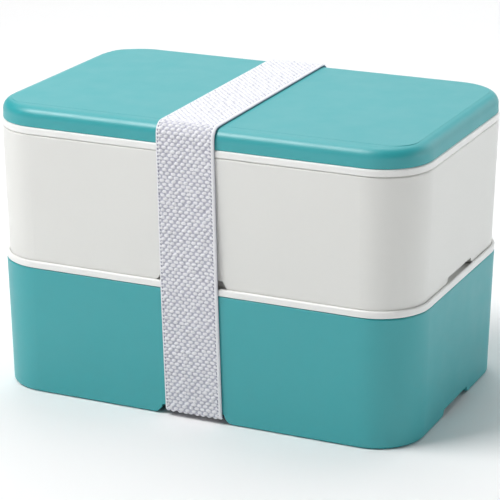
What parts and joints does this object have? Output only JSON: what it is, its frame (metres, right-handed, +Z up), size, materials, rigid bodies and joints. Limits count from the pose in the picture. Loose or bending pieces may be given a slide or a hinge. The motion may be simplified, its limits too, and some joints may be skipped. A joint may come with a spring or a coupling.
{
  "type": "bento lunch box",
  "caption": "Stacking bento lunch box: food trays with sealed inner lids under a rounded cover, held shut by a wide elastic strap.",
  "frame": {"origin": "middle of the footprint, on the table surface", "axes": "+X along the long side, -Y out of the front that faces the viewer, +Z up"},
  "size_m": [0.18, 0.1166, 0.1195],
  "materials": {
    "teal_plastic": "satin moulded polypropylene, teal",
    "white_plastic": "satin moulded polypropylene, white",
    "silicone": "translucent soft silicone",
    "elastic_webbing": "woven elastic, white",
    "sewing_thread": "polyester thread, white"
  },
  "bodies": {
    "lower_tray": {"lower_container": "teal_plastic"},
    "lower_lid": {"lower_inner_lid": "white_plastic", "lower_lid_seal": "silicone"},
    "upper_tray": {"upper_container": "white_plastic"},
    "upper_lid": {"upper_inner_lid": "white_plastic", "upper_lid_seal": "silicone"},
    "cover": {"top_cover": "teal_plastic"},
    "strap": {"elastic_strap": "elastic_webbing", "strap_seam_thread": "sewing_thread"}
  },
  "joints": [
    {"name": "lower_lid_lift", "type": "slide", "parent": "lower_tray", "child": "lower_lid", "axis": [0, 0, 1], "range_m": [0, 0.05]},
    {"name": "upper_tray_lift", "type": "slide", "parent": "lower_lid", "child": "upper_tray", "axis": [0, 0, 1], "range_m": [0, 0.05]},
    {"name": "upper_lid_lift", "type": "slide", "parent": "upper_tray", "child": "upper_lid", "axis": [0, 0, 1], "range_m": [0, 0.05]},
    {"name": "cover_lift", "type": "slide", "parent": "upper_lid", "child": "cover", "axis": [0, 0, 1], "range_m": [0, 0.05]},
    {"name": "strap_slide", "type": "slide", "parent": "lower_tray", "child": "strap", "axis": [1, 0, 0], "range_m": [-0.12, 0.12], "deforming": ["elastic_strap", "strap_seam_thread"]}
  ]
}
